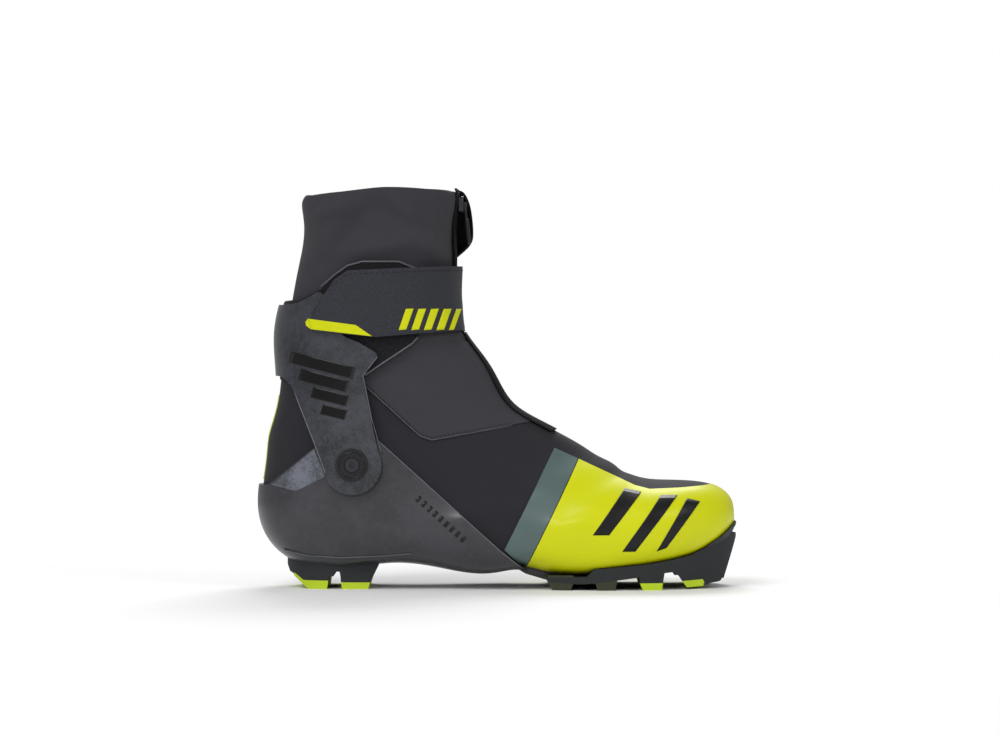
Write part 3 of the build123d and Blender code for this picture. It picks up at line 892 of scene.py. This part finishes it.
@dataclass
class Gaiter:
    """Softshell ankle gaiter with hem, zip and pull loop."""

    wall: float = 1.5
    foot: float = 3.35
    teeth_pitch: float = 1.5
    teeth_break: float = 10.0
    tooth: tuple[float, float, float] = (1.7, 0.55, 0.5)
    tape_half: float = 8.5
    welt: Flat = (3.0, 6.0)
    zip_end: float = 8.5
    welt_start: float = 1.4
    strap_zone: tuple[float, float] = (157.0, 164.0)
    creases: tuple[tuple[float, float, float, float, float], ...] = (
        (-98, 234, 0.35, 22, 3.2), (-86, 222, 0.8, 18, -2.2), (-58, 233, -0.75, 20, 3.8),
        (-46, 222, -0.5, 16, -2.4), (-104, 214, 1.0, 16, 2.6), (-72, 209, 0.2, 26, 2.4),
        (-42, 208, -1.1, 14, 2.6), (-112, 238, 1.3, 12, -1.8),
    )
    crease_width: float = 6.0

    def folds(self, p: Vector) -> float:
        """Gives the gaiter's soft slanting folds.

        Args:
            p: a point in millimetres.

        Returns:
            Height in millimetres.
        """
        free = min(1.0, max(0.0, (p.z - 196) / 12))
        side = min(1.0, abs(p.y) / 16)
        strength = 1 if p.y < 0 else 0.7
        fold = 0.0
        for x, z, slope, reach, high in self.creases:
            along = (p.x - x) * cos(slope) + (p.z - z) * sin(slope)
            across = -(p.x - x) * sin(slope) + (p.z - z) * cos(slope)
            fade = exp(-((along / reach) ** 2)) * exp(-((across / self.crease_width) ** 2))
            fold += high * fade * strength
        return max(-1.6, free * side * (fold + noise.noise(p * 0.035) * 2.2)) - 0.1

    def build_shell(self) -> None:
        """Builds the shell with its waved top edge."""
        bm = fan_sheet(0, self.foot, 70)
        outward(bm)
        lifted(bm, self.folds)
        for vert in bm.verts:
            z = vert.co.z / MM
            if z > 225:
                vert.co.z += MM * (z - 225) / 22 * (1.5 * sin(vert.co.x / MM * 0.062 - 0.6) - 0.9)
        shell = publish(bm, "gaiter_shell", GAITER)
        thicken(shell, self.wall, 0.4)
        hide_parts("gaiter")
        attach(shell, "cuff")

    def zip_point(self, u: float, y: float) -> Vector:
        """Returns a point beside the zip's centre line, y in millimetres."""
        return FAN.point(u, asin(-y * MM / FAN.half_width))

    def build_zip(self, upper: SoftUpper) -> None:
        """Builds the zip's tape and its welts down to the instep.

        Args:
            upper: bakes each piece's placement.
        """
        low, high = self.strap_zone
        half = self.tape_half
        bm = warped_grid(8, 130, lambda a, b: self.zip_point(0.05 + self.zip_end * b, (a * 2 - 1) * half))
        outward(bm)
        lifted(bm, lambda p: 0.3 if low < p.z < high else 1.0)
        tape = publish(bm, "zip_tape_cloth", WEBBING)
        thicken(tape, 0.7)
        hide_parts("zip_tape")
        upper.bendable(tape)
        first, span = self.welt_start, self.zip_end + 0.1 - self.welt_start
        near, width = self.welt
        for side, word in ((1, "outer"), (-1, "inner")):
            bm = warped_grid(6, 150, lambda a, b: self.zip_point(first + span * b, side * (near + width * a)))
            outward(bm)
            lifted(bm, lambda p: 0.9 if low < p.z < high else 1.85)
            welt = publish(bm, f"zip_welt_{word}", WEBBING)
            thicken(welt, 0.8, 0.2)
            upper.bendable(welt)

    def tooth_spots(self) -> list[Vector]:
        """Finds the places of the zip's teeth, a pitch apart, except where the strap hides them.

        Returns:
            The places in metres.
        """
        low, high = self.strap_zone
        u, spots = 0.12, []
        while u < self.zip_end:
            here = self.zip_point(u, 0)
            hidden = low + 1 < here.z / MM < high - 1
            if not hidden and (not spots or (here - spots[-1]).length > self.teeth_pitch * MM):
                spots.append(here)
            u += 0.004
        return spots

    def build_teeth(self, upper: SoftUpper) -> None:
        """Builds the zip's teeth.

        Args:
            upper: bakes the coil's placement.
        """
        bm = bmesh.new()
        spots = self.tooth_spots()
        size = Matrix.Diagonal((*(half * MM for half in self.tooth), 1))
        for i, (a, b) in enumerate(zip(spots, spots[1:])):
            if (b - a).length > self.teeth_break * MM:
                continue
            way = (b - a).normalized()
            out = way.cross(Vector((0, 1, 0))).normalized()
            out = out if out.x + out.z > 0 else -out
            turn = Matrix((Vector((0, 1, 0)), way, out)).transposed().to_4x4()
            side = 1 if i % 2 else -1
            spot = a + out * 1.2 * MM + Vector((0, side * 0.9, 0)) * MM
            shape = Matrix.Translation(spot) @ turn @ size
            bmesh.ops.create_icosphere(bm, subdivisions=1, radius=1.0, matrix=shape)
        coil = publish(bm, "zip_teeth", NYLON)
        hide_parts("zip_coil")
        upper.bendable(coil)

    def build_loop(self) -> None:
        """Builds the webbing finger loop."""
        low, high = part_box("pull_loop")
        path = ((-25.5, 246), (-20.5, 244), (-16.6, 235), (-15.0, 219), (-17.2, 211.5), (-25.2, 204))
        count = len(path) - 1

        def place(a: float, b: float) -> Vector:
            """Gives a point of the loop's band.

            Args:
                a: share across the band.
                b: share along it, from its upper end.

            Returns:
                The point in metres.
            """
            i = min(int(b * count), count - 1)
            t = b * count - i
            c = smooth_line(path, i, t)
            return Vector((c.x * MM, low[1] + (high[1] - low[1]) * a, c.y * MM))

        bm = warped_grid(8, 50, place)
        face_away(bm, Vector((-0.025, 0.018, 0.225)))
        loop = publish(bm, "finger_loop", WEBBING)
        thicken(loop, 1.4, 0.3)
        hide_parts("pull_loop")
        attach(loop, "cuff")

        def gusset(a: float, b: float) -> Vector:
            """Gives a point of the cloth that fills the loop.

            Args:
                a: share from the gaiter to the band.
                b: share along the band.

            Returns:
                The point in metres.
            """
            rim = place(0.5, b)
            root = Vector((-0.0262, rim.y, 0.2455 - 0.041 * b))
            return root.lerp(rim, a)

        bm = warped_grid(8, 50, gusset)
        panel = publish(bm, "loop_gusset", WEBBING)
        thicken(panel, 0.8)
        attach(panel, "cuff")

    def build(self, upper: SoftUpper) -> None:
        """Builds the gaiter.

        Args:
            upper: the upper that it is sewn to.
        """
        self.build_shell()
        self.build_zip(upper)
        self.build_teeth(upper)
        self.build_loop()


@dataclass
class CuffStrap:
    """Closing strap, its fixed end, prints and stitching."""

    wall: float = 1.5
    span: tuple[float, float] = (-135.2, 54.0)
    stitch_start: float = -124.0
    front: float = -21.4
    fold: Flat = (-45.0, 39.4)
    fold_radius: float = 1.5
    top: tuple[Flat, ...] = ((-117.6, 162.8), (-114.3, 167.4), (-99.2, 189.4), (-91, 195), (10, 199.5))
    foot: tuple[Flat, ...] = ((-117.6, 162.6), (-115.8, 158.8), (-74, 154.4), (-22, 158.8), (10, 157.5))

    def wrapped(self, surface: Surface, turn: float, share: float, margin: float = 0.0) -> Vector:
        """Returns a point of the strap.

        Args:
            surface: the strap's packed surface.
            turn: angle round the leg in radians, 0 in front, negative on the outer side.
            share: from the lower edge, 0, to the upper one, 1.
            margin: distance kept from both edges in millimetres.

        Returns:
            The point.
        """
        way = Vector((cos(turn), sin(turn), 0))
        mid = surface.inward(Vector((LEG.x, 0, 0.172)), way, 0.085)
        x = mid.x / MM
        low, high = height_at(self.foot, x) + margin, height_at(self.top, x) - margin
        z = low + (high - low) * share
        point = surface.inward(Vector((LEG.x, 0, z * MM)), way, 0.085)
        over = point.x - self.front * MM
        return Vector((point.x - 0.72 * max(0.0, over), point.y, z * MM))

    def build_band(self) -> None:
        """Builds the moving band with its edge stitching."""
        surface = Surface("strap_band")
        first, last = (radians(turn) for turn in self.span)
        bm = warped_grid(150, 26, lambda a, b: self.wrapped(surface, first + (last - first) * a, b))
        face_away(bm, Vector((LEG.x, 0, 0.177)))
        band = publish(bm, "strap_webbing_band", STRAP)
        thicken(band, self.wall, 0.5)
        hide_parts("strap_band")
        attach(band, "strap")
        start, path = radians(self.stitch_start), []
        for k in range(180):
            turn = start + (last - start) * k / 179
            proud = Vector((cos(turn), sin(turn), 0)) * 0.12 * MM
            path.append(self.wrapped(surface, turn, 1.0, 2.4) + proud)
        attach(stitches("strap_stitches", path, 2.2, 1.1, 0.2), "strap")

    def build_prints(self) -> None:
        """Lays the yellow stripe and the slanted bars on the band."""
        surface = Surface("strap_band")
        prints = [
            ("strap_stripe", ((-113.5, 159.2), (-76, 154.9), (-86, 161.8), (-115.2, 165.6)), 24),
            ("strap_stripe_end", ((-116.4, 161.4), (-113.5, 159.2), (-115.2, 165.6), (-116.8, 163.6)), 6),
        ]
        for i in range(5):
            x = -60 + i * 7.6
            wide = 4.6 if i < 4 else 3.0
            corners = ((x, 158.6), (x + wide, 159), (x + wide + 4.4, 171.8), (x + 4.4, 171.6))
            prints.append((f"strap_bar_{i}", corners, 10))
        for name, corners, fine in prints:
            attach(decal(name, surface, corners, -1, YELLOW, 0.3, fine), "strap")

    def build_anchor(self) -> None:
        """Builds the strap's fixed end on the inner side."""
        tab = soften("strap_anchor", "strap_fixed_end", STRAP, 0.5, 2)
        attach(tab, "cuff")

    def build_fold(self) -> None:
        """Builds the sewn fold that joins the band to its fixed end."""
        x, y = self.fold
        line = [Vector((x, y, z)) * MM for z in range(160, 196, 3)]
        fold = publish(tube_along(line, self.fold_radius, 16), "strap_fold", STRAP)
        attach(fold, "cuff")

    def build(self) -> None:
        """Builds the strap."""
        self.build_band()
        self.build_fold()
        self.build_prints()
        self.build_anchor()


@dataclass
class CarbonParts:
    """Chassis, cuff, its padded liner and the prints on them."""

    shank: tuple[Flat, ...] = ((8, 15), (17, 9.2), (31, 5.0), (38, 5.6), (38, 10), (20, 14))
    shank_half: float = 23.0
    print_slope: float = 0.24
    hinge: Flat = (-88.4, 76.4)
    groove_radius: float = 7.9

    def build_liner(self) -> None:
        """Builds the cuff's padded liner with piped edges."""
        liner = soften("cuff_liner", "cuff_padding", LOOP_CLOTH, 0.7, 4)
        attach(liner, "cuff")
        surface = Surface("cuff_liner")
        rims = {
            "top": ((-107.5, 185.2), (-99, 192.4), (-91, 198), (-82, 200.4), (-60, 200.4), (-48.5, 195.6)),
            "low": ((-81, 131), (-70, 138.4), (-60, 145.0), (-52, 150.4), (-48, 155)),
        }
        for side in (-1, 1):
            for word, rim in rims.items():
                # The piping is real; its light grey is painted highlight.
                pipe = tube_along(side_path(surface, rim, side, 10, 0.1), 0.6)
                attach(publish(pipe, f"piping_{word}_{side_word(side)}", SEAM), "cuff")

    def build_prints(self) -> None:
        """Lays glossy bars on the cuff and ticks on the chassis."""
        cuff, chassis = Surface("carbon_cuff"), Surface("carbon_chassis")
        rows = ((-128, 138.5, 40, 7), (-122, 128, 30, 7), (-114, 117.5, 22, 6.5), (-108, 107.5, 15, 6))
        for side in (-1, 1):
            word = side_word(side)
            for i, (x, z, long, tall) in enumerate(rows):
                drop = long * self.print_slope
                corners = ((x, z), (x + long, z - drop), (x + long + 2, z + tall - drop), (x + 2, z + tall))
                bar = decal(f"cuff_print_{i}_{word}", cuff, corners, side, GLOSS_BLACK, 0.12, 14)
                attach(bar, "cuff")
            for i in range(9):
                x, z = -50 + i * 3.4, 55 - i * 3.05
                corners = ((x, z), (x + 1.6, z - 1.4), (x + 4.2, z + 1.6), (x + 2.6, z + 3.0))
                tick = decal(f"chassis_tick_{i}_{word}", chassis, corners, side, GLOSS_BLACK, 0.12, 3)
                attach(tick, "boot")

    def build_edges(self) -> None:
        """Builds edge lines and a facet panel of painted highlight, and cap groove rings of painted shade."""
        cuff, chassis = Surface("carbon_cuff"), Surface("carbon_chassis")
        arm = [(-70.6, 84), (-76.4, 104.5), (-81.7, 131), (-79, 134.6), (-72.4, 143)]
        rear = [(-104.6, 71.5), (-110.6, 87.6), (-125, 123.2)]
        flank = [(-72.2, 90.8), (-40, 61.9), (1.2, 24.7), (16.6, 12.4)]
        foot = [(-131, 24), (-116, 20.6), (-96, 19.6), (-72, 20.6), (-50, 22.5)]
        # The light grey beads along the arm and flank edges are painted highlight.
        edges = (
            ("arm_edge", arm, cuff, "cuff", 0.3, EDGE),
            ("arm_rear_edge", rear, cuff, "cuff", 0.3, EDGE),
            ("flank_edge", flank, chassis, "boot", 0.32, EDGE),
            # The foot ridge is real; its lighter colour is painted highlight.
            ("foot_ridge", foot, chassis, "boot", 0.5, RIDGE),
        )
        # Corners of the lighter facet panel of painted highlight.
        corners = ((-138.6, 64.0), (-123, 60.4), (-104, 69.6), (-111.6, 86.2))
        for side in (-1, 1):
            word = side_word(side)
            for name, line, surface, body, thick, finish in edges:
                path = side_path(surface, line, side, 12, -0.05)
                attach(publish(tube_along(path, thick, 6), f"{name}_{word}", finish), body)
            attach(decal(f"chassis_facet_highlight_{word}", chassis, corners, side, FACET, 0.08, 24), "boot")
            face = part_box(f"hinge_disc_{word}")[0 if side < 0 else 1][1]
            x, z = self.hinge
            radius = self.groove_radius
            # Dark gloss rings on the caps: painted shade of their grooves.
            turns = [k * pi / 24 for k in range(49)]
            ring = [Vector(((x + radius * cos(t)) * MM, face, (z + radius * sin(t)) * MM)) for t in turns]
            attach(publish(tube_along(ring, 0.28, 6), f"cap_groove_shade_{word}", GLOSS_BLACK), "boot")

    def build_shank(self) -> None:
        """Builds the chassis's flat nose, which runs under the foot into the sole."""
        bm = bmesh.new()
        nose = bm.faces.new([bm.verts.new((x * MM, -self.shank_half * MM, z * MM)) for x, z in self.shank])
        grown = bmesh.ops.extrude_face_region(bm, geom=[nose])["geom"]
        moved = [v for v in grown if isinstance(v, bmesh.types.BMVert)]
        bmesh.ops.translate(bm, verts=moved, vec=(0, 2 * self.shank_half * MM, 0))
        bmesh.ops.bevel(
            bm, geom=bm.edges[:], offset=1.0 * MM, segments=3, profile=0.5, affect="EDGES", material=-1
        )
        bmesh.ops.recalc_face_normals(bm, faces=bm.faces[:])
        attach(publish(bm, "shank_nose", CARBON), "boot")

    def build(self) -> None:
        """Builds the dressing of the carbon parts."""
        self.build_liner()
        self.build_shank()
        self.build_prints()
        self.build_edges()


def dress_solids() -> None:
    """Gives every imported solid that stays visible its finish."""
    for name, finish in SOLID_FINISHES.items():
        mesh = NODES[name].data
        mesh.materials.clear()
        mesh.materials.append(finish.material())
        LOG.info("dressed %s", name)


# -------- studio
@dataclass
class Studio:
    """Pale floor, soft lights and a level camera on the outer side."""

    view_width: float = 0.62
    aim: Vector = field(default_factory=lambda: Vector((0.0017, 0, 0.1309)))
    lens: float = 135.0
    ambient: float = 0.36

    def light(self, name: str, place: Vector, size: float, power: float) -> None:
        """Adds one soft square light aimed at the boot.

        Args:
            name: the light's name.
            place: where it stands.
            size: edge in metres.
            power: in watts.
        """
        lamp = bpy.data.lights.new(name, "AREA")
        lamp.size = size
        lamp.energy = power
        rig = bpy.data.objects.new(name, lamp)
        rig.location = place
        rig.rotation_euler = (self.aim - place).to_track_quat("-Z", "Y").to_euler()
        bpy.context.scene.collection.objects.link(rig)

    def build(self) -> None:
        """Builds floor, world, lights and camera."""
        bm = bmesh.new()
        bmesh.ops.create_circle(bm, segments=96, radius=0.75, cap_ends=True)
        publish(bm, "studio_floor", PAPER)
        world = bpy.data.worlds.new("studio")
        world.use_nodes = True
        sky = world.node_tree.nodes["Background"]
        sky.inputs["Color"].default_value = (1, 1, 1, 1)
        paths = world.node_tree.nodes.new("ShaderNodeLightPath")
        strength = world.node_tree.nodes.new("ShaderNodeMapRange")
        strength.inputs["To Min"].default_value = self.ambient
        strength.inputs["To Max"].default_value = 1.0
        world.node_tree.links.new(paths.outputs["Is Camera Ray"], strength.inputs["Value"])
        world.node_tree.links.new(strength.outputs["Result"], sky.inputs["Strength"])
        bpy.context.scene.world = world
        self.light("key", Vector((-0.9, -1.5, 1.9)), 1.2, 27)
        self.light("fill", Vector((1.5, -1.4, 1.0)), 0.8, 9)
        self.light("rim", Vector((0.1, 1.3, 1.5)), 1.0, 22)
        self.light("spark", Vector((-0.45, -2.0, 0.75)), 0.28, 5)
        cam = bpy.data.cameras.new("camera")
        cam.lens = self.lens
        rig = bpy.data.objects.new("camera", cam)
        distance = self.view_width * self.lens / 36
        rig.location = self.aim + Vector((0, -distance * cos(radians(0.6)), distance * sin(radians(0.6))))
        rig.rotation_euler = (self.aim - rig.location).to_track_quat("-Z", "Y").to_euler()
        bpy.context.scene.collection.objects.link(rig)
        bpy.context.scene.camera = rig
        bpy.context.scene.view_settings.view_transform = "Standard"


def main() -> None:
    """Builds the whole scene."""
    logging.basicConfig(level=logging.INFO, format="%(message)s")
    Studio().build()
    dress_solids()
    upper = SoftUpper()
    upper.build()
    Gaiter().build(upper)
    CarbonParts().build()
    CuffStrap().build()


if __name__ == "__main__":
    main()
